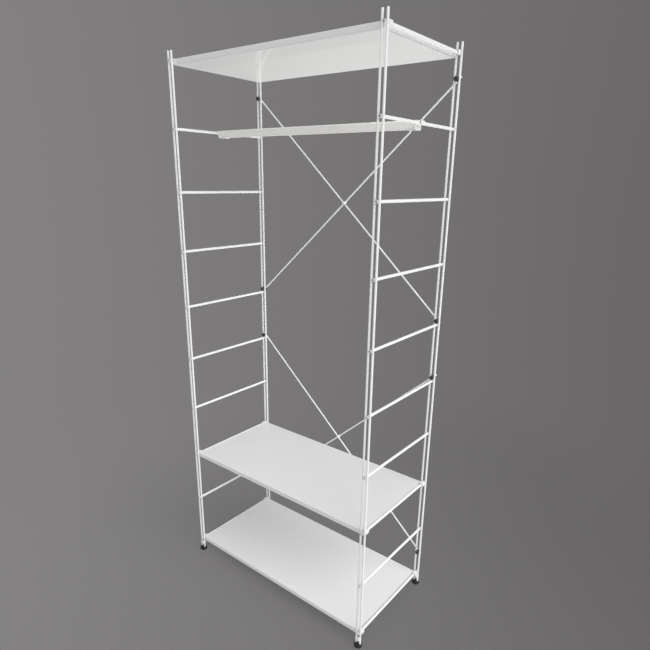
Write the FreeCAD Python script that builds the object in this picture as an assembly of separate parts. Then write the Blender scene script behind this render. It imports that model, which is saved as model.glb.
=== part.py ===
import FreeCAD, Part
import os

# Open frame wardrobe: two welded wire ladders, hook-on shelves, a hanger bar and rear cross braces

V = FreeCAD.Vector
X_AXIS = V(1, 0, 0)
Y_AXIS = V(0, 1, 0)
Z_AXIS = V(0, 0, 1)

# Uprights: a pair of round wires at each corner, side by side across the width
post_span = 837.0
post_depth = 406.4
wire_d = 7.0
wire_above_rungs = 30.0
wire_dome_share = 0.85

# Rungs: round tubes welded between the two wires of a front and a rear corner
rung_d = 9.2
rung_wall = 1.2
rung_overhang = 6.0
rung_pitch = 207.4
weld_bite = 0.15
rung_count = 10

# Shelves: folded pans with an underside panel and hooked end rails
lower_bay_count = 2
shelf_height = 18.0
shelf_side_gap = 4.4
shelf_post_gap = 2.5
shelf_sheet = 1.0
panel_sheet = 0.8
lip_bend = 1.5
return_width = 15.0
rail_sheet = 2.0
rail_gap = 0.1

# Hooks on the shelf rails and on the hanger brackets
hook_sheet = 2.5
hook_bend = 1.5
hook_width = 16.0
hook_inset = 1.0
hook_tip = 1.0
seat_gap = 0.3

# Hanger bar: a flat-sided tube carried by two hooked brackets
bar_height = 25.0
bar_thick = 14.0
bar_wall = 1.2
bar_corner = 4.0
bar_drop = 4.0
bracket_width = 33.0
bracket_corner = 3.0
bracket_hook_width = 20.0
tab_length = 26.0
tab_width = 18.0
plug_flange = 2.0
plug_length = 24.0
plug_gap = 0.15
bar_screw_d = 3.2
bar_screw_head_d = 6.0
bar_screw_head = 2.0
bar_screw_length = 9.0

# Cross braces: thin rods clamped to the rear pairs of wires
upper_brace_drop = 69.1
lower_brace_rise = 98.1
brace_rod_d = 5.5
brace_wire_gap = 0.5
brace_tail = 12.0
clamp_d = 14.5
clamp_rung_gap = 2.0
clamp_front = 8.0
clamp_back = 2.0
clamp_screw_d = 4.0
clamp_screw_head_d = 7.0
clamp_screw_head = 2.2
clip_d = 10.0
clip_wall = 1.5

# Screw slots, and the play of a screw in its hole
slot_width = 1.0
slot_depth = 1.0
screw_gap = 0.1

# Levelling feet: a pad on a threaded stud, in a nut block between two wires
foot_drop = 13.0
foot_gap = 2.0
foot_d = 28.0
foot_top_round = 3.0
foot_low_round = 1.0
stud_d = 6.0
stud_gap = 0.3
stud_tip = 3.0
block_rise = 14.0
block_height = 14.0
block_depth = 14.0
block_rung_gap = 7.8

# Cuts run this far past the faces that they open, and edges this near a place count as being at it
overrun = 5.0
near_share = 0.001

# Rungs that carry a piece, in pitches above the lowest rung
top_step = rung_count - 1
hanger_step = top_step - 1
upper_brace_step = rung_count // 2
lower_brace_step = upper_brace_step - 1
SHELF_STEPS = (("bottom_shelf", 0), ("middle_shelf", lower_bay_count), ("top_shelf", top_step))

# Places worked out from the sizes above
wire_r = wire_d / 2
rung_r = rung_d / 2
rod_r = brace_rod_d / 2
pair_spacing = wire_d + rung_d - 2 * weld_bite
lip_radius = lip_bend + shelf_sheet
clamp_rise = rung_r + clamp_rung_gap + clamp_d / 2
post_x = post_span / 2
rod_near = wire_r + rod_r + brace_wire_gap
rod_far = rod_near + brace_rod_d
front_reach = foot_d / 2
rear_reach = rod_far + rod_r + clamp_back + clamp_screw_head
front_y = front_reach - (front_reach + post_depth + rear_reach) / 2
rear_y = front_y + post_depth
middle_y = (front_y + rear_y) / 2
shelf_x = post_x - rung_r - shelf_side_gap
shelf_y = post_depth / 2 - wire_r - shelf_post_gap
SIDES = (("left", -1), ("right", 1))
CORNERS = (("front", front_y), ("rear", rear_y))


def rung_z(step):
    """Height of the axis of the rung that lies so many pitches above the lowest one."""
    return foot_drop + block_rise + block_height + block_rung_gap + rung_r + step * rung_pitch


def about_middle(half):
    """Two depths, as far in front of the rungs' middle as behind it."""
    return (middle_y - half, middle_y + half)


def box(x, y, z):
    """Box between two ends along each axis, in either order."""
    low = V(min(x), min(y), min(z))
    return Part.makeBox(max(x) - low.x, max(y) - low.y, max(z) - low.z, low)


def cylinder(diameter, start, end):
    """Round bar from one point to another."""
    run = end - start
    return Part.makeCylinder(diameter / 2, run.Length, start, run)


def edges_along(shape, axis):
    """Straight edges that run along an axis."""
    found = []
    for edge in shape.Edges:
        run = edge.Vertexes[-1].Point - edge.Vertexes[0].Point
        if run.Length > 0 and run.cross(axis).Length < run.Length * near_share:
            found.append(edge)
    return found


def edges_at(shape, z):
    """Edges that lie at one height."""
    found = []
    for edge in shape.Edges:
        ends = edge.BoundBox
        if abs(ends.ZMin - z) + abs(ends.ZMax - z) < wire_r * near_share:
            found.append(edge)
    return found


def upper_edges(shape, axis):
    """Straight edges along an axis in the upper half of a shape."""
    return [edge for edge in edges_along(shape, axis) if edge.CenterOfMass.z > shape.BoundBox.Center.z]


def rounded_box(x, y, z, axis, radius):
    """Box with its four edges along one axis rounded."""
    plain = box(x, y, z)
    return plain.makeFillet(radius, edges_along(plain, axis))


def save(name, *solids):
    """Write one node, as one solid or as a group of separate ones."""
    shape = solids[0] if len(solids) == 1 else Part.makeCompound(list(solids))
    if not shape.isValid():
        raise ValueError(name + " is not a valid shape")
    shape.exportStep("parts/" + name + ".step")


def upright(x, y):
    """Wire with a rounded top, standing clear of the floor."""
    top = rung_z(top_step) + wire_above_rungs
    wire = cylinder(wire_d, V(x, y, foot_drop), V(x, y, top))
    return wire.makeFillet(wire_r * wire_dome_share, edges_at(wire, top))


def rung(x, z, wires):
    """Open tube between front and rear wires, bitten by their welds."""
    start = V(x, front_y - rung_overhang, z)
    end = V(x, rear_y + rung_overhang, z)
    tube = cylinder(rung_d, start, end).cut(cylinder(rung_d - 2 * rung_wall, start, end))
    return tube.cut(wires)


def ladder(side_name, side):
    """Four wires and their rungs on one side; returns the rear wires."""
    wires = {}
    for corner_name, y in CORNERS:
        for place, offset in (("outer", pair_spacing / 2), ("inner", -pair_spacing / 2)):
            wire = upright(side * (post_x + offset), y)
            wires[corner_name, place] = wire
            save(f"{side_name}_{corner_name}_{place}_wire", wire)
    for step in range(rung_count):
        save(f"{side_name}_rung_{step + 1:02d}", rung(side * post_x, rung_z(step), list(wires.values())))
    return [wires["rear", "outer"], wires["rear", "inner"]]


def hook(side, y, width, step, leg_low):
    """Inverted U over a rung, with its leg against the end of a shelf or bar and a short outer lip."""
    x = side * post_x
    reach = post_x - shelf_x
    throat = reach - hook_sheet
    seat = rung_z(step) + rung_r + seat_gap
    crown = seat + hook_sheet
    lip_low = rung_z(step) - rung_r - hook_tip
    across = (y - width / 2, y + width / 2)
    outer = box((x - reach, x + reach), across, (leg_low, crown))
    outer = outer.makeFillet(hook_bend + hook_sheet, upper_edges(outer, Y_AXIS))
    past = (across[0] - overrun, across[1] + overrun)
    inner = box((x - throat, x + throat), past, (leg_low - overrun, seat))
    inner = inner.makeFillet(hook_bend, upper_edges(inner, Y_AXIS))
    below_lip = box((x, x + side * (reach + overrun)), past, (leg_low - overrun, lip_low))
    return outer.cut(inner).cut(below_lip)


def shelf_pan(low, top):
    """Folded sheet: top, front and rear lips, and returns under both lips."""
    across = (-shelf_x, shelf_x)
    past = (-shelf_x - overrun, shelf_x + overrun)
    sheet_low = low + panel_sheet
    outer = rounded_box(across, about_middle(shelf_y), (sheet_low, top), X_AXIS, lip_radius)
    hollow = rounded_box(past, about_middle(shelf_y - shelf_sheet),
                         (sheet_low + shelf_sheet, top - shelf_sheet), X_AXIS, lip_bend)
    opening = box(past, about_middle(shelf_y - return_width), (low - overrun, (low + top) / 2))
    return outer.cut(hollow).cut(opening)


def shelf_rail(side, step, low, top):
    """End plate inside the pan with a hook near each corner post."""
    plate_low = low + panel_sheet + shelf_sheet
    rail = rounded_box((side * (shelf_x - rail_sheet), side * shelf_x),
                       about_middle(shelf_y - shelf_sheet - rail_gap),
                       (plate_low, top - shelf_sheet), X_AXIS, lip_bend)
    for y in about_middle(shelf_y - hook_inset - hook_width / 2):
        rail = rail.fuse(hook(side, y, hook_width, step, plate_low))
    return rail.removeSplitter()


def shelf(name, step):
    """Shelf with its top level with the rungs that it hangs on."""
    top = rung_z(step) + rung_r
    low = top - shelf_height
    panel = box((-shelf_x, shelf_x), about_middle(shelf_y - lip_radius), (low, low + panel_sheet))
    save(name + "_pan", shelf_pan(low, top))
    save(name + "_underside", panel)
    for side_name, side in SIDES:
        save(f"{name}_{side_name}_rail", shelf_rail(side, step, low, top))


def slotted_screw(shank_d, head_d, tip, seat, head_top, slot_axis):
    """Screw from its tip to its seat, with a slotted head beyond the seat."""
    screw = cylinder(shank_d, tip, seat).fuse(cylinder(head_d, seat, head_top))
    inwards = (seat - head_top).normalize()
    long_half = slot_axis * head_d
    wide_half = inwards.cross(slot_axis) * (slot_width / 2)
    deep = inwards * slot_depth
    a = head_top + deep - long_half - wide_half
    b = head_top - inwards * overrun + long_half + wide_half
    return screw.cut(box((a.x, b.x), (a.y, b.y), (a.z, b.z))).removeSplitter()


def bar_prism(x, shrink, middle_z):
    """Length of the bar's section, drawn in by an even margin."""
    half_z = bar_height / 2 - shrink
    return rounded_box(x, about_middle(bar_thick / 2 - shrink), (middle_z - half_z, middle_z + half_z),
                       X_AXIS, bar_corner - shrink)


def hanger_bar():
    """Tube, dark end plugs, hooked brackets and the screws that hold them together."""
    middle_z = rung_z(hanger_step) - bar_drop
    bar_low = middle_z - bar_height / 2
    plate_low = bar_low - hook_sheet
    tube_end = shelf_x - plug_flange
    screw_x = shelf_x - tab_length / 2
    hole_d = bar_screw_d + 2 * screw_gap
    tube = bar_prism((-tube_end, tube_end), 0, middle_z)
    tube = tube.cut(bar_prism((-tube_end - overrun, tube_end + overrun), bar_wall, middle_z))
    screws = []
    for side_name, side in SIDES:
        tip = V(side * screw_x, middle_y, plate_low + bar_screw_length)
        seat = V(side * screw_x, middle_y, plate_low)
        screws.append(slotted_screw(bar_screw_d, bar_screw_head_d, tip, seat,
                                    seat - Z_AXIS * bar_screw_head, Y_AXIS))
        hole = cylinder(hole_d, seat - Z_AXIS * overrun, tip)
        flange = bar_prism((side * tube_end, side * shelf_x), 0, middle_z)
        stem = bar_prism((side * (tube_end - plug_length), side * tube_end), bar_wall + plug_gap, middle_z)
        save(f"hanger_{side_name}_plug", flange.fuse(stem).cut(hole).removeSplitter())
        plate = rounded_box((side * shelf_x, side * (shelf_x + hook_sheet)),
                            about_middle(bracket_width / 2),
                            (plate_low, rung_z(hanger_step) + rung_r), X_AXIS, bracket_corner)
        tab = box((side * (shelf_x - tab_length), side * shelf_x),
                  about_middle(tab_width / 2), (plate_low, bar_low))
        bracket = plate.fuse([tab, hook(side, middle_y, bracket_hook_width, hanger_step, plate_low)])
        save(f"hanger_{side_name}_bracket", bracket.cut(hole).removeSplitter())
        tube = tube.cut(hole)
    save("hanger_tube", tube)
    save("hanger_screws", *screws)


def brace_clamp(side, z, rod, rod_y, wires):
    """Round clamp snapped in between a pair of wires, with a screw from behind on the rod; returns both."""
    x = side * post_x
    front = rear_y - wire_r - clamp_front
    back = rod_y + rod_r + clamp_back
    clamp = cylinder(clamp_d, V(x, front, z), V(x, back, z)).cut(wires + [rod])
    tip = V(x, rod_y + rod_r, z)
    seat = V(x, back, z)
    clamp = clamp.cut(cylinder(clamp_screw_d + 2 * screw_gap, V(x, rod_y, z), seat + Y_AXIS * overrun))
    head_top = seat + Y_AXIS * clamp_screw_head
    screw = slotted_screw(clamp_screw_d, clamp_screw_head_d, tip, seat, head_top, X_AXIS)
    return clamp.removeSplitter(), screw


def brace_rod(start, end):
    """Rod through two clamp centres, with a short tail past each."""
    run = (end - start).normalize() * brace_tail
    return cylinder(brace_rod_d, start - run, end + run)


def cross_brace(name, low, high, rear_wires):
    """Two crossed rods, the clip at their crossing and a clamp at each end; returns clamps and screws."""
    near = rear_y + rod_near
    far = rear_y + rod_far
    falling = brace_rod(V(-post_x, near, high), V(post_x, near, low))
    rising = brace_rod(V(-post_x, far, low), V(post_x, far, high))
    save(name + "_falling_rod", falling)
    save(name + "_rising_rod", rising)
    middle_z = (low + high) / 2
    clip_front = V(0, near - rod_r - clip_wall, middle_z)
    clip_back = V(0, far + rod_r + clip_wall, middle_z)
    save(name + "_clip", cylinder(clip_d, clip_front, clip_back).cut([falling, rising]))
    pairs = []
    for side_name, side in SIDES:
        falling_z, rising_z = (high, low) if side < 0 else (low, high)
        pairs.append(brace_clamp(side, falling_z, falling, near, rear_wires[side]))
        pairs.append(brace_clamp(side, rising_z, rising, far, rear_wires[side]))
    return pairs


def levelling_foot(x, y):
    """Round pad with the threaded stud moulded into it."""
    pad_top = foot_drop - foot_gap
    pad = cylinder(foot_d, V(x, y, 0), V(x, y, pad_top))
    pad = pad.makeFillet(foot_top_round, edges_at(pad, pad_top))
    pad = pad.makeFillet(foot_low_round, edges_at(pad, 0))
    stud_top = foot_drop + block_rise + block_height + stud_tip
    return pad.fuse(cylinder(stud_d, V(x, y, pad_top), V(x, y, stud_top))).removeSplitter()


def nut_block(x, y):
    """Block welded between two wires, bored for the stud."""
    low = foot_drop + block_rise
    half = pair_spacing / 2
    block = box((x - half, x + half), (y - block_depth / 2, y + block_depth / 2), (low, low + block_height))
    top = low + block_height + overrun
    for wire_x in (x - half, x + half):
        block = block.cut(cylinder(wire_d, V(wire_x, y, low - overrun), V(wire_x, y, top)))
    return block.cut(cylinder(stud_d + 2 * stud_gap, V(x, y, low - overrun), V(x, y, top)))


os.makedirs("parts", exist_ok=True)

rear_wires = {side: ladder(side_name, side) for side_name, side in SIDES}

for shelf_name, step in SHELF_STEPS:
    shelf(shelf_name, step)

hanger_bar()

upper_low = rung_z(upper_brace_step) + clamp_rise
upper_high = rung_z(top_step) - upper_brace_drop
lower_low = rung_z(0) + lower_brace_rise
lower_high = rung_z(lower_brace_step) + clamp_rise
clamp_pairs = cross_brace("upper_brace", upper_low, upper_high, rear_wires)
clamp_pairs += cross_brace("lower_brace", lower_low, lower_high, rear_wires)
save("brace_clamps", *[clamp for clamp, screw in clamp_pairs])
save("brace_clamp_screws", *[screw for clamp, screw in clamp_pairs])

blocks = []
for side_name, side in SIDES:
    for corner_name, y in CORNERS:
        blocks.append(nut_block(side * post_x, y))
        save(f"{side_name}_{corner_name}_foot", levelling_foot(side * post_x, y))
save("foot_nut_blocks", *blocks)
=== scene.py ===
from math import atan2, cos, pi, radians, sin

import bmesh
import bpy
from mathutils import Matrix, Vector


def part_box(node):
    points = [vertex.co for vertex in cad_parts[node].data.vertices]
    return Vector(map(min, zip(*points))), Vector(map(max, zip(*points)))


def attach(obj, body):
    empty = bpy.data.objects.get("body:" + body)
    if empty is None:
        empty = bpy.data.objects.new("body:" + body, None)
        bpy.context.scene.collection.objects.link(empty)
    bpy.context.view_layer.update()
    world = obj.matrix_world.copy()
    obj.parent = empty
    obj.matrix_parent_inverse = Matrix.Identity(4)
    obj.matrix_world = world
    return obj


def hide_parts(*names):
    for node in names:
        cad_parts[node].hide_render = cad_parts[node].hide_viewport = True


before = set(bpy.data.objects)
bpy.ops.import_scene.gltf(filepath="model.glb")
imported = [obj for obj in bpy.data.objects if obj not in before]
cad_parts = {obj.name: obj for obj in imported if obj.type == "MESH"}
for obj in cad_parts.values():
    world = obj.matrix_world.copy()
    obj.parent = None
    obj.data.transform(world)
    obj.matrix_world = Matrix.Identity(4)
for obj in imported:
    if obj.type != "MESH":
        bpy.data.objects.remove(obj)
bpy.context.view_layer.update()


# Upright wires: eight lengths of drawn steel wire, two side by side at each corner.
# Each is cropped square at the foot and rounded over at the top so that nothing snags.
# The wires are welded up into two ladders, which are powder coated white in one piece.
FIRST_WIRE = "left_front_outer_wire"
WIRE_SIDES = 40
WIRE_TOP_ROUND = 0.0029
WIRE_FOOT_CHAMFER = 0.0004
ROUND_STEPS = 6
EDGE_STEPS = 2
SMOOTH_UP_TO = radians(32)
NEAR = 0.00002
X, Y, Z = 0, 1, 2
FRAME_WHITE = (0.93, 0.93, 0.92, 1)
FRAME_SHADE = (0.86, 0.86, 0.845, 1)
COAT_ROUGH = 0.28
COAT_TOP_ROUGH = 0.06
DRIFT_ROUGH, CLOUD_ROUGH = 0.14, 0.06
# The weld share is painted shade: close to the welds the coat is darkened towards its shade
# colour.
DRIFT_SHADE, CLOUD_SHADE, WELD_PAINTED_SHADE = 0.6, 0.2, 0.9
SHADE_START = 0.15
PEEL_STRENGTH, PEEL_DEPTH = 0.05, 0.0004
PAINTED_SHADE_REACH = (0.003, 0.013)
MIX_SHARE, MIX_FIRST, MIX_SECOND, MIX_COLOUR = 0, 6, 7, 2


def begin(primitive, **sizes):
    """Add a primitive with nothing else selected, and open it for editing."""
    bpy.ops.object.select_all(action="DESELECT")
    primitive(**sizes)
    bpy.ops.object.transform_apply(location=True, rotation=True, scale=True)
    bpy.ops.object.mode_set(mode="EDIT")
    return bpy.context.object


def choose(kind, wanted):
    """Select the faces or edges under edit whose place or direction is wanted."""
    bpy.ops.mesh.select_mode(type={"edges": "EDGE", "faces": "FACE"}[kind])
    bpy.ops.mesh.select_all(action="DESELECT")
    mesh = bmesh.from_edit_mesh(bpy.context.edit_object.data)
    for part in getattr(mesh, kind):
        if wanted(part):
            part.select_set(True)
    mesh.select_flush_mode()
    bmesh.update_edit_mesh(bpy.context.edit_object.data)


def within(part, axis, low, high):
    """Whether every corner of a face or edge lies between two places along an axis."""
    return all(low - NEAR < corner.co[axis] < high + NEAR for corner in part.verts)


def level(part, axis, *places):
    """Whether a face or edge lies flat at one of these places along an axis."""
    return any(within(part, axis, place, place) for place in places)


def round_over(wanted, radius, steps):
    """Round the wanted edges over."""
    choose("edges", wanted)
    bpy.ops.mesh.bevel(offset=radius, segments=steps)


def smooth(piece):
    """Shade rounded edges smooth, and let the flat faces beside them stay flat."""
    bpy.ops.object.shade_smooth_by_angle(angle=SMOOTH_UP_TO)
    flat = piece.modifiers.new("flat", "WEIGHTED_NORMAL")
    flat.keep_sharp = True
    bpy.ops.object.modifier_apply(modifier="flat")


def close(piece, name):
    """Leave edit mode with the faces turned outwards, and name the finished shape."""
    bpy.ops.mesh.select_all(action="SELECT")
    bpy.ops.mesh.normals_make_consistent(inside=False)
    bpy.ops.object.mode_set(mode="OBJECT")
    smooth(piece)
    piece.name = piece.data.name = name
    return piece


def centre(node):
    """The middle of a solid's box."""
    low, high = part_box(node)
    return (low + high) / 2


def nodes_with(word):
    """The names of the solids that have a word in their name, in order."""
    return sorted(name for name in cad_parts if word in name)


def copy_of(piece, name, shift):
    """A second piece of the same shape, with its own mesh at its own place."""
    copy = piece.copy()
    copy.data = piece.data.copy()
    copy.data.transform(Matrix.Translation(shift))
    copy.name = copy.data.name = name
    bpy.context.scene.collection.objects.link(copy)
    return copy


def repeated(first, first_node, node, kind):
    """The first piece for its own solid, and a copy of it at the place of any other."""
    if node == first_node:
        return first
    return copy_of(first, kind + node, centre(node) - centre(first_node))


def coat(piece, finish):
    """Give a shape one finish all over."""
    piece.data.materials.clear()
    piece.data.materials.append(finish)


def fit(piece, finish, body, slot, *nodes):
    """Coat a finished piece and set it on its body in place of the plain solids."""
    coat(piece, finish)
    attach(piece, body)
    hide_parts(*nodes)


class Tone:
    """A value in a finish. Sums on it add Math nodes, and make adds any other node."""

    def __init__(self, tree, socket=None):
        self.tree = tree
        self.socket = socket

    def make(self, kind, settings=None, inputs=None, out=0):
        node = self.tree.nodes.new(kind)
        for name, value in (settings or {}).items():
            setattr(node, name, value)
        for name, value in (inputs or {}).items():
            if isinstance(value, Tone):
                self.tree.links.new(value.socket, node.inputs[name])
            else:
                node.inputs[name].default_value = value
        return Tone(self.tree, node.outputs[out]) if node.outputs else None

    def sum(self, operation, first, second=0.0):
        return self.make("ShaderNodeMath", {"operation": operation}, {0: first, 1: second})

    def __add__(self, other):
        return self.sum("ADD", self, other)

    def __radd__(self, other):
        return self.sum("ADD", other, self)

    def __sub__(self, other):
        return self.sum("SUBTRACT", self, other)

    def __rsub__(self, other):
        return self.sum("SUBTRACT", other, self)

    def __mul__(self, other):
        return self.sum("MULTIPLY", self, other)

    def __rmul__(self, other):
        return self.sum("MULTIPLY", other, self)

    def __truediv__(self, other):
        return self.sum("DIVIDE", self, other)

    def __rtruediv__(self, other):
        return self.sum("DIVIDE", other, self)

    def __abs__(self):
        return self.sum("ABSOLUTE", self)


def bare_finish(name):
    """A material with no shader yet, a tone to make its nodes from, and the place on the piece."""
    finish = bpy.data.materials.new(name)
    finish.use_nodes = True
    finish.node_tree.nodes.clear()
    tone = Tone(finish.node_tree)
    return finish, tone, tone.make("ShaderNodeTexCoord", out="Object")


def noise(tone, place, scale, detail=2.0):
    """Soft random patches, from 0 to 1."""
    return tone.make("ShaderNodeTexNoise", {}, {"Vector": place, "Scale": scale, "Detail": detail})


def blend(tone, share, first, second):
    """A colour between two, by a share from 0 to 1."""
    return tone.make("ShaderNodeMix", {"data_type": "RGBA"},
                     {MIX_SHARE: share, MIX_FIRST: first, MIX_SECOND: second}, out=MIX_COLOUR)


def held(tone, value):
    """A value kept between 0 and 1."""
    return tone.make("ShaderNodeClamp", {}, {"Value": value})


def fall(tone, value, start, end):
    """1 below the start, easing to 0 at the end."""
    return tone.make("ShaderNodeMapRange", {"interpolation_type": "SMOOTHSTEP"},
                     {"Value": value, "From Min": start, "From Max": end,
                      "To Min": 1.0, "To Max": 0.0})


def bump(tone, height, strength, depth):
    """Fine relief on a surface."""
    return tone.make("ShaderNodeBump", {},
                     {"Height": height, "Strength": strength, "Distance": depth})


def surface(tone, looks):
    """The shader of a finish, from what its sockets are given."""
    shader = tone.make("ShaderNodeBsdfPrincipled", {}, looks)
    tone.make("ShaderNodeOutputMaterial", {}, {"Surface": shader})


def powder_coat(name, pale, shade, gloss, rough=COAT_ROUGH, shine=0.5, welds=None):
    """Baked powder coat: orange peel, slow drift in tone, patchy gloss, and painted shade round
    the welds.
    """
    finish, tone, place = bare_finish(name)
    drift = noise(tone, place, scale=9.0, detail=3.0)
    cloud = noise(tone, place, scale=60.0)
    peel = noise(tone, place, scale=420.0, detail=1.0)
    share = drift * DRIFT_SHADE + cloud * CLOUD_SHADE - SHADE_START
    if welds:
        # Painted shade: the coat darkens near the welds, where shade falls in the crevices.
        share = share + welds(tone, place) * WELD_PAINTED_SHADE
    surface(tone, {
        "Base Color": blend(tone, held(tone, share), pale, shade),
        "Roughness": drift * DRIFT_ROUGH + cloud * CLOUD_ROUGH + rough,
        "Normal": bump(tone, peel, PEEL_STRENGTH, PEEL_DEPTH),
        "Specular IOR Level": shine,
        "Coat Weight": gloss,
        "Coat Roughness": COAT_TOP_ROUGH,
    })
    return finish


lowest_rung = centre("left_rung_01").z
rung_pitch = centre("left_rung_02").z - lowest_rung


def painted_shade_at_rungs(tone, place):
    """Painted shade round the welds: the coat darkens close to every rung's height."""
    height = tone.make("ShaderNodeSeparateXYZ", {}, {"Vector": place}, out="Z")
    turns = (height - lowest_rung) / rung_pitch + 0.5
    away = abs(tone.sum("FRACT", turns) - 0.5) * rung_pitch
    return fall(tone, away, *PAINTED_SHADE_REACH)


wire_coat = powder_coat("wire_powder_coat", FRAME_WHITE, FRAME_SHADE, gloss=0.5,
                        welds=painted_shade_at_rungs)
wire_low, wire_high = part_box(FIRST_WIRE)
wire_radius = (wire_high.x - wire_low.x) / 2

wire = begin(bpy.ops.mesh.primitive_cylinder_add, vertices=WIRE_SIDES, radius=wire_radius,
             depth=wire_high.z - wire_low.z, location=centre(FIRST_WIRE))
round_over(lambda edge: level(edge, Z, wire_high.z), WIRE_TOP_ROUND, ROUND_STEPS)
round_over(lambda edge: level(edge, Z, wire_low.z), WIRE_FOOT_CHAMFER, EDGE_STEPS)
close(wire, "coated_" + FIRST_WIRE)

for node in nodes_with("_wire"):
    piece = repeated(wire, FIRST_WIRE, node, "coated_")
    fit(piece, wire_coat, "frame", "frame_white", node)


# Rungs: twenty cut lengths of thin steel tube, ten to a side, with both ends left open.
# Each lies between the two wires of its front and rear corner, and is welded to all four.
# The welds leave a small bead at each crossing, which the coat covers.
FIRST_RUNG = "left_rung_01"
RUNG_SIDES = 40
RUNG_WALL = 0.0012
RUNG_RIM = 0.0003
BEAD_SIZE = (0.0011, 0.0033, 0.0037)
BEAD_SIDES = 16
BEAD_RINGS = 8
FACING = 0.9

rung_low, rung_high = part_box(FIRST_RUNG)
rung_place = centre(FIRST_RUNG)
rung_radius = (rung_high.x - rung_low.x) / 2
front_y, rear_y = (centre(f"left_{corner}_outer_wire").y for corner in ("front", "rear"))


def facing(face, axis, way=0, at_least=FACING):
    """Whether a face looks along an axis: up it for 1, down it for -1, either way for 0."""
    look = face.normal[axis]
    return (look * way if way else abs(look)) > at_least


def painted_shade_at_rung_ends(tone, place):
    """Painted shade round the welds, near both ends of a rung."""
    depth = tone.make("ShaderNodeSeparateXYZ", {}, {"Vector": place}, out="Y")
    away = abs(abs(depth - (front_y + rear_y) / 2) - (rear_y - front_y) / 2)
    return fall(tone, away, *PAINTED_SHADE_REACH)


def on_a_rim(edge):
    """Whether an edge goes round an open end of the rung, inside or outside."""
    first, second = ((corner.co - rung_place).xz.length for corner in edge.verts)
    return level(edge, Y, rung_low.y, rung_high.y) and abs(first - second) < NEAR


# Painted shade darkens the rung's coat near the welds at both of its ends.
rung_coat = powder_coat("rung_powder_coat", FRAME_WHITE, FRAME_SHADE, gloss=0.5,
                        welds=painted_shade_at_rung_ends)

rung = begin(bpy.ops.mesh.primitive_cylinder_add, vertices=RUNG_SIDES, radius=rung_radius,
             depth=rung_high.y - rung_low.y, location=rung_place, rotation=(pi / 2, 0, 0))
choose("faces", lambda face: facing(face, Y))
bpy.ops.mesh.inset(thickness=RUNG_WALL, use_individual=True)
bpy.ops.mesh.bridge_edge_loops()
round_over(on_a_rim, RUNG_RIM, EDGE_STEPS)
for bead_y in (front_y, rear_y):
    for side in (-1, 1):
        bead_place = (rung_place.x + side * rung_radius, bead_y, rung_place.z)
        bpy.ops.mesh.primitive_uv_sphere_add(segments=BEAD_SIDES, ring_count=BEAD_RINGS, radius=1,
                                             location=bead_place, scale=BEAD_SIZE)
close(rung, "coated_" + FIRST_RUNG)

for node in nodes_with("_rung_"):
    piece = repeated(rung, FIRST_RUNG, node, "coated_")
    fit(piece, rung_coat, "frame", "frame_white", node)


# Nut blocks: four short steel blocks, each welded between two wires of a corner near the floor.
# The block is sawn from bar, its edges are broken, and it is bored for the stud of the foot.
BLOCK_DEPTH = 0.014
BLOCK_EDGE = 0.0008
BLOCK_BORE = 0.0033
BLOCK_ROUGH = 0.3
BORE_SIDES = 32
SOFT_STEPS = 3

blocks_low, blocks_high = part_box("foot_nut_blocks")
block_rise = blocks_high.z - blocks_low.z
post_x = rung_place.x
pair_half = abs(centre(FIRST_WIRE).x - post_x)


def slab(low, high):
    """A block between two corners, open for editing."""
    low, high = Vector(low), Vector(high)
    return begin(bpy.ops.mesh.primitive_cube_add, size=1,
                 location=(low + high) / 2, scale=high - low)


def cut(piece, cutter):
    """Take one shape out of another, and do away with the cutter."""
    bpy.ops.object.select_all(action="DESELECT")
    bpy.context.view_layer.objects.active = piece
    piece.select_set(True)
    bore = piece.modifiers.new("bore", "BOOLEAN")
    bore.operation = "DIFFERENCE"
    bore.solver = "EXACT"
    bore.object = cutter
    bpy.ops.object.modifier_apply(modifier="bore")
    bpy.data.objects.remove(cutter)


def join(pieces, name):
    """Make one piece of several, and name it."""
    bpy.ops.object.select_all(action="DESELECT")
    for piece in pieces:
        piece.select_set(True)
    bpy.context.view_layer.objects.active = pieces[0]
    bpy.ops.object.join()
    pieces[0].name = pieces[0].data.name = name
    return pieces[0]


block = slab((post_x - pair_half, front_y - BLOCK_DEPTH / 2, blocks_low.z),
             (post_x + pair_half, front_y + BLOCK_DEPTH / 2, blocks_high.z))
round_over(lambda edge: True, BLOCK_EDGE, SOFT_STEPS)
bpy.ops.object.mode_set(mode="OBJECT")
bore = begin(bpy.ops.mesh.primitive_cylinder_add, vertices=BORE_SIDES, radius=BLOCK_BORE,
             depth=2 * block_rise, location=(post_x, front_y, blocks_high.z))
close(bore, "stud_bore")
cut(block, bore)
smooth(block)
other_corners = [(0, rear_y - front_y, 0), (-2 * post_x, 0, 0), (-2 * post_x, rear_y - front_y, 0)]
blocks = [block] + [copy_of(block, "nut_block_copy", shift) for shift in other_corners]
block_coat = powder_coat("block_powder_coat", FRAME_WHITE, FRAME_SHADE, gloss=0.4,
                         rough=BLOCK_ROUGH)
fit(join(blocks, "coated_foot_nut_blocks"), block_coat, "frame", "frame_white", "foot_nut_blocks")


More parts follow.
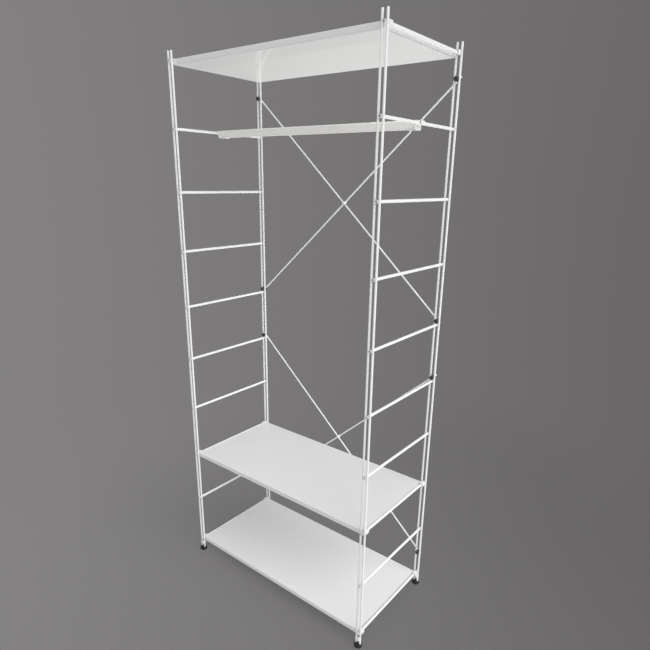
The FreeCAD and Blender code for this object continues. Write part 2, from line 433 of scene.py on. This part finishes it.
# Levelling feet: four round pads of black nylon, each moulded round the head of a blackened stud.
# The stud is rolled with a coarse thread that runs up through the nut block, so that the pad
# turns to level the rack.
FIRST_FOOT = "left_front_foot"
PAD_SIDES = 56
PAD_TOP = 0.011
PAD_TOP_ROUND = 0.003
PAD_LOW_ROUND = 0.001
BOSS_RADIUS = 0.0046
BOSS_RISE = 0.0012
BOSS_ROUND = 0.0004
STUD_RADIUS = 0.003
THREAD_PITCH = 0.00125
THREAD_DEPTH = 0.0005
THREAD_STEPS = 24
THREAD_SPARE_TURNS = 2
CREST_SHARE = 0.15
CREST_DROP = 0.025
PLASTIC_BLACK = (0.018, 0.018, 0.019, 1)
PLASTIC_DUST = (0.06, 0.06, 0.058, 1)
PLASTIC_ROUGH, PATCH_ROUGH = 0.36, 0.22
GRAIN_STRENGTH, GRAIN_DEPTH = 0.35, 0.0001
DUST_SPREAD, DUST_START, DUST_SHARE = 2.0, 0.95, 0.7
STUD_STEEL = (0.09, 0.09, 0.095, 1)
STUD_WORN = (0.2, 0.2, 0.2, 1)
STEEL_ROUGH, SPANGLE_ROUGH = 0.26, 0.2
TURNING_SCALE = (300, 300, 5200)
TURNING_STRENGTH, TURNING_DEPTH = 0.2, 0.00008


def moulded_plastic(name, deep, dusty):
    """Moulded plastic: fine spark-eroded grain, a little dust and worn, shinier patches."""
    finish, tone, place = bare_finish(name)
    grain = noise(tone, place, scale=2600.0)
    patch = noise(tone, place, scale=180.0, detail=3.0)
    dust = held(tone, patch * DUST_SPREAD - DUST_START)
    surface(tone, {
        "Base Color": blend(tone, dust * DUST_SHARE, deep, dusty),
        "Roughness": patch * PATCH_ROUGH + PLASTIC_ROUGH,
        "Normal": bump(tone, grain, GRAIN_STRENGTH, GRAIN_DEPTH),
    })
    return finish


def streaks(tone, place, scale):
    """Noise drawn out into fine lines, by a scale of its own along each axis."""
    stretched = tone.make("ShaderNodeMapping", {}, {"Vector": place, "Scale": scale})
    return noise(tone, stretched, scale=1.0)


def turned_steel(name, bright, dull):
    """Turned or rolled steel: a soft spangle in its colour and fine marks round its axis."""
    finish, tone, place = bare_finish(name)
    spangle = noise(tone, place, scale=420.0, detail=3.0)
    turning = streaks(tone, place, TURNING_SCALE)
    surface(tone, {
        "Base Color": blend(tone, spangle, bright, dull),
        "Metallic": 1.0,
        "Roughness": spangle * SPANGLE_ROUGH + STEEL_ROUGH,
        "Normal": bump(tone, turning, TURNING_STRENGTH, TURNING_DEPTH),
    })
    return finish


black_plastic = moulded_plastic("moulded_black_plastic", PLASTIC_BLACK, PLASTIC_DUST)
stud_steel = turned_steel("blackened_stud_steel", STUD_STEEL, STUD_WORN)
foot_low, foot_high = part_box(FIRST_FOOT)
foot_x, foot_y = centre(FIRST_FOOT).xy
pad_radius = (foot_high.x - foot_low.x) / 2
boss_top = PAD_TOP + BOSS_RISE

pad = begin(bpy.ops.mesh.primitive_cylinder_add, vertices=PAD_SIDES, radius=pad_radius,
            depth=PAD_TOP, location=(foot_x, foot_y, PAD_TOP / 2))
round_over(lambda edge: level(edge, Z, PAD_TOP), PAD_TOP_ROUND, ROUND_STEPS)
round_over(lambda edge: level(edge, Z, 0), PAD_LOW_ROUND, SOFT_STEPS)
choose("faces", lambda face: level(face, Z, PAD_TOP))
bpy.ops.mesh.inset(thickness=pad_radius - PAD_TOP_ROUND - BOSS_RADIUS)
bpy.ops.mesh.extrude_region_move(TRANSFORM_OT_translate={"value": (0, 0, BOSS_RISE)})
round_over(lambda edge: level(edge, Z, boss_top), BOSS_ROUND, SOFT_STEPS)
close(pad, "moulded_pad")
coat(pad, black_plastic)

thread_place = (STUD_RADIUS - THREAD_DEPTH / 2, 0, PAD_TOP + THREAD_PITCH / 2)
stud = begin(bpy.ops.mesh.primitive_plane_add, size=THREAD_PITCH, rotation=(pi / 2, 0, 0),
             location=thread_place)
bpy.ops.mesh.select_all(action="SELECT")
bpy.ops.transform.resize(value=(THREAD_DEPTH / THREAD_PITCH, 1, 1), center_override=thread_place)
choose("edges", lambda edge: level(edge, X, STUD_RADIUS - THREAD_DEPTH))
bpy.ops.mesh.delete(type="EDGE")
choose("edges", lambda edge: level(edge, X, STUD_RADIUS))
bpy.ops.transform.resize(value=(1, 1, CREST_SHARE), center_override=thread_place)
bpy.ops.transform.translate(value=(0, 0, -CREST_DROP * THREAD_PITCH))
bpy.ops.object.mode_set(mode="OBJECT")
thread = stud.modifiers.new("thread", "SCREW")
thread.axis = "Z"
thread.angle = 2 * pi
thread.screw_offset = THREAD_PITCH
thread.iterations = int((foot_high.z - PAD_TOP) / THREAD_PITCH) + THREAD_SPARE_TURNS
thread.steps = thread.render_steps = THREAD_STEPS
thread.use_merge_vertices = True
thread.merge_threshold = NEAR
bpy.ops.object.modifier_apply(modifier="thread")
bpy.ops.object.mode_set(mode="EDIT")
bpy.ops.mesh.select_all(action="SELECT")
bpy.ops.mesh.remove_doubles(threshold=NEAR)
bpy.ops.mesh.select_all(action="SELECT")
bpy.ops.mesh.bisect(plane_co=(0, 0, foot_high.z), plane_no=(0, 0, 1),
                    use_fill=True, clear_outer=True)
bpy.ops.mesh.select_all(action="SELECT")
bpy.ops.mesh.bisect(plane_co=(0, 0, PAD_TOP + THREAD_PITCH), plane_no=(0, 0, 1),
                    use_fill=True, clear_inner=True)
close(stud, "threaded_stud")
stud.data.transform(Matrix.Translation((foot_x, foot_y, 0)))
coat(stud, stud_steel)
foot = join([pad, stud], "moulded_" + FIRST_FOOT)

for node in nodes_with("_foot"):
    piece = repeated(foot, FIRST_FOOT, node, "moulded_")
    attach(piece, "levelling_" + node)
    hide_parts(node)


# Shelves: three pans folded from sheet steel, with rounded front and rear lips returned below.
# A flat panel closes the underside, and an end rail with two hooks is welded inside each open end.
# Pans and rails are coated a slightly cooler white than the ladders. The panel takes the ladders'
# brighter white, lighter than the pan, as painted light on the shelf's underside.
SHELVES = ("bottom_shelf", "middle_shelf", "top_shelf")
SIDES = (("left", -1), ("right", 1))
SHELF_WHITE = (0.845, 0.846, 0.846, 1)
SHELF_SHADE = (0.805, 0.806, 0.806, 1)
SHELF_SHEET = 0.001
SHELF_LIP_ROUND = 0.0025
SHELF_RETURN = 0.015
CUT_EDGE = 0.00022
CUT_EDGE_ANGLE = radians(60)
RAIL_SHEET = 0.002
RAIL_CORNER = 0.0014
HOOK_SHEET = 0.0025
HOOK_BEND = 0.004
HOOK_WIDTH = 0.016
HOOK_EDGE = 0.0004
HOOK_INSET = 0.001
HOOK_LIP = 0.001
FOLD_STEPS = 8
CORNER_STEPS = 4

shelf_coat = powder_coat("shelf_powder_coat", SHELF_WHITE, SHELF_SHADE, gloss=0.45, shine=0.2)
# Painted light: the underside panel gets the ladders' brighter white, lighter than the pan above
# it, in place of light on the shelf's underside.
underside_coat_painted_light = powder_coat("panel_powder_coat", FRAME_WHITE, FRAME_SHADE, gloss=0.7, shine=0.1)
pan_low, pan_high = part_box("bottom_shelf_pan")
hook_reach = abs(abs(post_x) - pan_high.x)


def along_x(edge):
    """Whether an edge runs from one side of the rack towards the other."""
    return abs(edge.verts[0].co.x - edge.verts[1].co.x) > NEAR


def slice_faces(wanted, axis, place):
    """Cut the wanted faces in a plane across an axis, and keep both sides."""
    choose("faces", wanted)
    along = Vector([float(way == axis) for way in (X, Y, Z)])
    bpy.ops.mesh.bisect(plane_co=along * place, plane_no=along)


def drop_faces(wanted):
    """Take the wanted faces away."""
    choose("faces", wanted)
    bpy.ops.mesh.delete(type="FACE")


def thicken(piece, thickness, edge):
    """Give a folded surface the thickness of its sheet, inwards, and break its cut edges."""
    bpy.ops.object.mode_set(mode="OBJECT")
    sheet = piece.modifiers.new("sheet", "SOLIDIFY")
    sheet.thickness = thickness
    sheet.offset = -1
    sheet.use_even_offset = True
    bpy.ops.object.modifier_apply(modifier="sheet")
    broken = piece.modifiers.new("broken", "BEVEL")
    broken.width = edge
    broken.segments = EDGE_STEPS
    broken.limit_method = "ANGLE"
    broken.angle_limit = CUT_EDGE_ANGLE
    bpy.ops.object.modifier_apply(modifier="broken")
    smooth(piece)


def hook_strip(side, across, upright, rung_z):
    """A strip bent over a rung: leg on the shelf's side, crown and a short outer lip."""
    rung_x = side * abs(post_x)
    lip_low = rung_z - rung_radius - HOOK_LIP
    strip = slab((rung_x - hook_reach, across[0], upright[0]),
                 (rung_x + hook_reach, across[1], upright[1]))
    round_over(lambda edge: level(edge, Z, upright[1]) and not level(edge, Y, *across),
               HOOK_BEND, ROUND_STEPS)
    drop_faces(lambda face: facing(face, Y) or facing(face, Z, -1))
    slice_faces(lambda face: facing(face, X, side), Z, lip_low)
    drop_faces(lambda face: facing(face, X, side) and within(face, Z, upright[0], lip_low))
    return strip


pan = slab(pan_low, pan_high)
return_ends = (pan_low.y + SHELF_RETURN, pan_high.y - SHELF_RETURN)
round_over(along_x, SHELF_LIP_ROUND, FOLD_STEPS)
drop_faces(lambda face: facing(face, X))
for return_y in return_ends:
    slice_faces(lambda face: facing(face, Z, -1), Y, return_y)
drop_faces(lambda face: facing(face, Z, -1) and within(face, Y, *return_ends))
thicken(pan, SHELF_SHEET, CUT_EDGE)
pan.name = pan.data.name = "coated_bottom_shelf_pan"

panel = slab(*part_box("bottom_shelf_underside"))
round_over(lambda edge: True, CUT_EDGE, EDGE_STEPS)
close(panel, "coated_bottom_shelf_underside")

shelf_parts = {"pan": (pan, shelf_coat), "underside": (panel, underside_coat_painted_light)}
for side_name, side in SIDES:
    rail_low, rail_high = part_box(f"bottom_shelf_{side_name}_rail")
    shelf_end = side * pan_high.x
    plate_left, plate_right = sorted((shelf_end, shelf_end - side * RAIL_SHEET))
    plate = slab((plate_left, rail_low.y, rail_low.z),
                 (plate_right, rail_high.y, pan_high.z - SHELF_SHEET))
    round_over(along_x, RAIL_CORNER, CORNER_STEPS)
    close(plate, "rail_plate")
    parts = [plate]
    for hook_y in (pan_low.y + HOOK_INSET, pan_high.y - HOOK_INSET - HOOK_WIDTH):
        strip = hook_strip(side, (hook_y, hook_y + HOOK_WIDTH), (rail_low.z, rail_high.z),
                           lowest_rung)
        thicken(strip, HOOK_SHEET, HOOK_EDGE)
        parts.append(strip)
    rail = join(parts, f"coated_bottom_shelf_{side_name}_rail")
    shelf_parts[side_name + "_rail"] = (rail, shelf_coat)

for shelf in SHELVES:
    for part, (first, finish) in shelf_parts.items():
        node = f"{shelf}_{part}"
        piece = repeated(first, "bottom_shelf_" + part, node, "coated_")
        fit(piece, finish, shelf, "shelf_white", node)


# Hanger bar: a flat-sided steel tube painted a warm pale grey, closed at each end by a pale plug.
# A white bracket hooks over the rung on each side, and its tab is screwed up into the plug.
BAR_CORNER = 0.004
BAR_WALL = 0.0012
BAR_PALE = (0.95, 0.94, 0.91, 1)
BAR_DEEP = (0.91, 0.9, 0.87, 1)
BAR_ROUGH, BAR_DRIFT_ROUGH = 0.3, 0.15
BAR_DRIFT_SHADE, BAR_DRAWN_SHADE = 0.7, 0.2
DRAWN_SCALE = (8, 1300, 1300)
DRAWN_HEIGHT, SATIN_HEIGHT = 0.6, 0.4
SATIN_STRENGTH, SATIN_DEPTH = 0.12, 0.0002
COLLAR_LENGTH = 0.0045
COLLAR_PROUD = 0.0002
PLUG_ROUND = 0.0003
PLUG_PALE = (0.9, 0.89, 0.86, 1)
PLUG_DUST = (0.84, 0.83, 0.8, 1)
BRACKET_RUNG = "left_rung_09"
BRACKET_HOOK_WIDTH = 0.020
BRACKET_TAB_WIDTH = 0.018
BRACKET_TAB_LENGTH = 0.026
SQUARELY = 0.99
ZINC = (0.62, 0.62, 0.63, 1)
ZINC_DULL = (0.45, 0.45, 0.46, 1)


def satin_paint(name, pale, deep):
    """Satin paint on drawn tube: faint lines along the tube and a soft drift in tone."""
    finish, tone, place = bare_finish(name)
    drawn = streaks(tone, place, DRAWN_SCALE)
    drift = noise(tone, place, scale=6.0, detail=3.0)
    peel = noise(tone, place, scale=1100.0, detail=1.0)
    relief = drawn * DRAWN_HEIGHT + peel * SATIN_HEIGHT
    share = drift * BAR_DRIFT_SHADE + drawn * BAR_DRAWN_SHADE
    surface(tone, {
        "Base Color": blend(tone, share, pale, deep),
        "Roughness": drift * BAR_DRIFT_ROUGH + BAR_ROUGH,
        "Normal": bump(tone, relief, SATIN_STRENGTH, SATIN_DEPTH),
    })
    return finish


bar_paint = satin_paint("warm_grey_bar_paint", BAR_PALE, BAR_DEEP)
pale_plastic = moulded_plastic("moulded_pale_plastic", PLUG_PALE, PLUG_DUST)
bracket_coat = powder_coat("bracket_powder_coat", FRAME_WHITE, FRAME_SHADE, gloss=0.6)
zinc_plate = turned_steel("zinc_plated_steel", ZINC, ZINC_DULL)

tube_low, tube_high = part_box("hanger_tube")
tube = slab(tube_low, tube_high)
round_over(along_x, BAR_CORNER, FOLD_STEPS)
choose("faces", lambda face: facing(face, X))
bpy.ops.mesh.inset(thickness=BAR_WALL, use_individual=True)
bpy.ops.mesh.bridge_edge_loops()
close(tube, "painted_hanger_tube")
fit(tube, bar_paint, "hanger_bar", "bar_grey", "hanger_tube")

for side_name, side in SIDES:
    node = f"hanger_{side_name}_plug"
    plug_low, plug_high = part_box(node)
    plug_end = plug_high.x if side > 0 else plug_low.x
    collar_left, collar_right = sorted((plug_end, plug_end - side * COLLAR_LENGTH))
    plug = slab((collar_left, tube_low.y - COLLAR_PROUD, tube_low.z - COLLAR_PROUD),
                (collar_right, tube_high.y + COLLAR_PROUD, tube_high.z + COLLAR_PROUD))
    round_over(along_x, BAR_CORNER + COLLAR_PROUD, FOLD_STEPS)
    round_over(lambda edge: level(edge, X, collar_left, collar_right), PLUG_ROUND, SOFT_STEPS)
    close(plug, "moulded_" + node)
    fit(plug, pale_plastic, "hanger_bar", "pale_plastic", node)

    node = f"hanger_{side_name}_bracket"
    bracket_low, bracket_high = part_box(node)
    middle = (bracket_low.y + bracket_high.y) / 2
    hook_half, tab_half = BRACKET_HOOK_WIDTH / 2, BRACKET_TAB_WIDTH / 2
    bracket = hook_strip(side, (bracket_low.y, bracket_high.y), (tube_low.z, bracket_high.z),
                         centre(BRACKET_RUNG).z)
    for hook_y in (middle - hook_half, middle + hook_half):
        slice_faces(lambda face: not facing(face, X, -side, SQUARELY), Y, hook_y)
        drop_faces(lambda face: not facing(face, X, -side, SQUARELY)
                   and abs(face.calc_center_median().y - middle) > hook_half)
    for tab_y in (middle - tab_half, middle + tab_half):
        slice_faces(lambda face: facing(face, X, -side, SQUARELY), Y, tab_y)
    choose("edges", lambda edge: level(edge, Z, tube_low.z)
           and within(edge, Y, middle - tab_half, middle + tab_half))
    tab_reach = (-side * BRACKET_TAB_LENGTH, 0, 0)
    bpy.ops.mesh.extrude_region_move(TRANSFORM_OT_translate={"value": tab_reach})
    bpy.ops.mesh.select_all(action="SELECT")
    bpy.ops.mesh.normals_make_consistent(inside=False)
    thicken(bracket, HOOK_SHEET, HOOK_EDGE)
    bracket.name = bracket.data.name = "coated_" + node
    fit(bracket, bracket_coat, "hanger_bar", "shelf_white", node)

coat(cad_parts["hanger_screws"], zinc_plate)


# Cross braces: two pairs of thin white rods behind the rear wires, each rod clamped at both ends.
# A round charcoal clamp sits between each pair of wires, and a screw from behind bears on the rod.
# Where two rods cross, a small white clip holds them together.
BRACE_HEIGHTS = {"upper": (1.10425, 1.8509), "lower": (0.1515, 0.89685)}
BRACE_TAIL = 0.012
ROD_SIDES = 28
ROD_END_ROUND = 0.0012
CLAMP_SIDES = 48
CLAMP_STEPS = 5
CLAMP_RADIUS = 0.00725
CLAMP_ROUND = 0.0016
CLAMP_BACK = 0.002
CLAMP_DISH = 0.0007
CLAMP_DISH_RIM = 0.0022
CLAMP_GREY = (0.05, 0.047, 0.044, 1)
CLAMP_DUST = (0.11, 0.105, 0.1, 1)
CLIP_RADIUS = 0.005
CLIP_ROUND = 0.001

rod_coat = powder_coat("rod_powder_coat", FRAME_WHITE, FRAME_SHADE, gloss=0.5)
clamp_plastic = moulded_plastic("moulded_clamp_plastic", CLAMP_GREY, CLAMP_DUST)


def slug(place, front, back, radius, end_round, steps):
    """A short round bar that lies front to back, its ends rounded over, open for editing."""
    piece = begin(bpy.ops.mesh.primitive_cylinder_add, vertices=CLAMP_SIDES, radius=radius,
                  depth=back - front, rotation=(pi / 2, 0, 0),
                  location=(place.x, (front + back) / 2, place.z))
    round_over(lambda edge: level(edge, Y, front, back), end_round, steps)
    return piece


clamp_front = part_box("brace_clamps")[0].y
clamps = []
for brace, (low_z, high_z) in BRACE_HEIGHTS.items():
    for rod_name, left_z, right_z in (("falling", high_z, low_z), ("rising", low_z, high_z)):
        node = f"{brace}_brace_{rod_name}_rod"
        rod_low, rod_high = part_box(node)
        rod_radius = (rod_high.y - rod_low.y) / 2
        rod_y = (rod_low.y + rod_high.y) / 2
        start = Vector((-abs(post_x), rod_y, left_z))
        end = Vector((abs(post_x), rod_y, right_z))
        run = end - start
        rod = begin(bpy.ops.mesh.primitive_cylinder_add, vertices=ROD_SIDES, radius=rod_radius,
                    depth=run.length + 2 * BRACE_TAIL, location=(start + end) / 2,
                    rotation=(0, atan2(run.x, run.z), 0))
        round_over(lambda edge: edge.calc_length() < rod_radius, ROD_END_ROUND, CORNER_STEPS)
        close(rod, "coated_" + node)
        fit(rod, rod_coat, "frame", "frame_white", node)
        for place in (start, end):
            clamp = slug(place, clamp_front, rod_high.y + CLAMP_BACK,
                         CLAMP_RADIUS, CLAMP_ROUND, CLAMP_STEPS)
            choose("faces", lambda face: level(face, Y, clamp_front))
            bpy.ops.mesh.inset(thickness=CLAMP_DISH_RIM)
            bpy.ops.mesh.inset(thickness=CLAMP_DISH, depth=-CLAMP_DISH)
            clamps.append(close(clamp, "moulded_clamp"))
    node = f"{brace}_brace_clip"
    clip_low, clip_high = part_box(node)
    clip = slug(centre(node), clip_low.y, clip_high.y, CLIP_RADIUS, CLIP_ROUND, CORNER_STEPS)
    close(clip, "coated_" + node)
    fit(clip, rod_coat, "frame", "frame_white", node)
fit(join(clamps, "moulded_brace_clamps"), clamp_plastic, "frame", "black_plastic", "brace_clamps")
coat(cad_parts["brace_clamp_screws"], zinc_plate)


# Studio: the rack stands on a plain pale floor that fades into an even grey backdrop.
# Five large soft lamps and a pale surround light it, and the camera stands to the right and above.
FLOOR_RADIUS = 7.0
FLOOR_SIDES = 96
FLOOR_PALE = (0.55, 0.55, 0.55, 1)
FLOOR_LEFT = (0.27, 0.262, 0.266, 1)
FLOOR_RIGHT = (0.135, 0.13, 0.132, 1)
FLOOR_SPAN = 1.3
FLOOR_FADE = (0.7, 2.6)
FLOOR_SHARE = 0.45
BACKDROP_LEFT = (0.227, 0.219, 0.223, 1)
BACKDROP_RIGHT = (0.144, 0.138, 0.141, 1)
BACKDROP_SPAN = 0.5
SURROUND = (0.38, 0.38, 0.38, 1)
KEY_FROM = (0.697, -0.123, 0.707)
KEY_SOFTNESS = radians(56)
KEY_STRENGTH = 1.9
PANELS = (
    ("rear_panel", (-2.6, 2.9, 2.0), (0, 0, 2.0), (3.6, 4.0), 14),
    ("low_panel", (0, 1.8, 0.3), (0, 1.4, 2.0), (3.2, 2.0), 53),
    ("front_panel", (0.4, -2.8, 2.2), (0, 0, 1.8), (2.8, 1.8), 14),
    ("side_panel", (2.4, 0.2, 0.5), (0, 0, 1.9), (2.0, 1.0), 16),
)
CAMERA_PLACE = (1.2348, -1.4453, 1.5593)
CAMERA_YAW = radians(37.616)
CAMERA_PITCH = radians(18.667)
CAMERA_ROLL = radians(1.113)
CAMERA_LENS = 29.786
CAMERA_SHIFT = (-0.0113, 0.0554)
PICTURE_RIGHT = (cos(CAMERA_YAW), sin(CAMERA_YAW), 0)


def seen_directly(tone):
    """1 for what the camera sees, straight on or mirrored, and 0 for plain light."""
    path = tone.make("ShaderNodeLightPath").socket.node
    straight, mirrored, through = (Tone(tone.tree, path.outputs[name]) for name in (
        "Is Camera Ray", "Is Glossy Ray", "Is Transmission Ray"))
    return held(tone, straight + mirrored + through)


def rightwards(tone, place, span):
    """0 at the left of the picture to 1 at its right, over a span each way from the middle."""
    right = tone.make("ShaderNodeVectorMath", {"operation": "DOT_PRODUCT"},
                      {0: place, 1: PICTURE_RIGHT}, out="Value")
    return tone.make("ShaderNodeMapRange", {},
                     {"Value": right, "From Min": -span, "From Max": span})


def either(tone, share, first, second):
    """The first shader where the share is 0, and the second where it is 1."""
    return tone.make("ShaderNodeMixShader", {}, {0: share, 1: first, 2: second})


def stand(name, data, place, away):
    """Put a lamp in the studio, pointing back along a direction."""
    lamp = bpy.data.objects.new(name, data)
    lamp.location = place
    lamp.rotation_euler = Vector(away).to_track_quat("Z", "Y").to_euler()
    bpy.context.scene.collection.objects.link(lamp)
    return lamp


floor = begin(bpy.ops.mesh.primitive_circle_add, vertices=FLOOR_SIDES, radius=FLOOR_RADIUS,
              fill_type="NGON")
bpy.ops.object.mode_set(mode="OBJECT")
floor.name = "floor"
floor_finish, tone, floor_place = bare_finish("pale_floor")
out_from_middle = tone.make("ShaderNodeVectorMath", {"operation": "LENGTH"},
                            {0: floor_place}, out="Value")
seen = seen_directly(tone)
floor_seen = blend(tone, rightwards(tone, floor_place, FLOOR_SPAN), FLOOR_LEFT, FLOOR_RIGHT)
floor_colour = blend(tone, seen, FLOOR_PALE, floor_seen)
floor_paint = tone.make("ShaderNodeBsdfDiffuse", {}, {"Color": floor_colour})
clear = tone.make("ShaderNodeBsdfTransparent")
solid_share = 1 - seen * (1 - fall(tone, out_from_middle, *FLOOR_FADE) * FLOOR_SHARE)
tone.make("ShaderNodeOutputMaterial", {},
          {"Surface": either(tone, solid_share, clear, floor_paint)})
coat(floor, floor_finish)

world = bpy.data.worlds.new("surround")
bpy.context.scene.world = world
world.use_nodes = True
world.node_tree.nodes.clear()
tone = Tone(world.node_tree)
way = tone.make("ShaderNodeTexCoord", out="Generated")
backdrop_colour = blend(tone, rightwards(tone, way, BACKDROP_SPAN), BACKDROP_LEFT, BACKDROP_RIGHT)
backdrop = tone.make("ShaderNodeBackground", {}, {"Color": backdrop_colour})
surround = tone.make("ShaderNodeBackground", {}, {"Color": SURROUND})
tone.make("ShaderNodeOutputWorld", {},
          {"Surface": either(tone, seen_directly(tone), surround, backdrop)})

key = bpy.data.lights.new("key_lamp", "SUN")
key.energy = KEY_STRENGTH
key.angle = KEY_SOFTNESS
stand("key_lamp", key, (0, 0, 0), KEY_FROM)
for name, place, target, size, power in PANELS:
    glow = bpy.data.lights.new(name, "AREA")
    glow.shape = "RECTANGLE"
    glow.size, glow.size_y = size
    glow.energy = power
    lamp = stand(name, glow, place, Vector(place) - Vector(target))
    lamp.visible_camera = lamp.visible_glossy = False

camera_data = bpy.data.cameras.new("camera")
camera_data.lens = CAMERA_LENS
camera_data.shift_x, camera_data.shift_y = CAMERA_SHIFT
camera = bpy.data.objects.new("camera", camera_data)
camera.location = CAMERA_PLACE
turn = Matrix.Rotation(CAMERA_YAW, 3, "Z")
lean = Matrix.Rotation(pi / 2 - CAMERA_PITCH, 3, "X")
roll = Matrix.Rotation(CAMERA_ROLL, 3, "Z")
camera.rotation_euler = (turn @ lean @ roll).to_euler()
bpy.context.scene.collection.objects.link(camera)
bpy.context.scene.camera = camera
bpy.context.scene.view_settings.view_transform = "Standard"
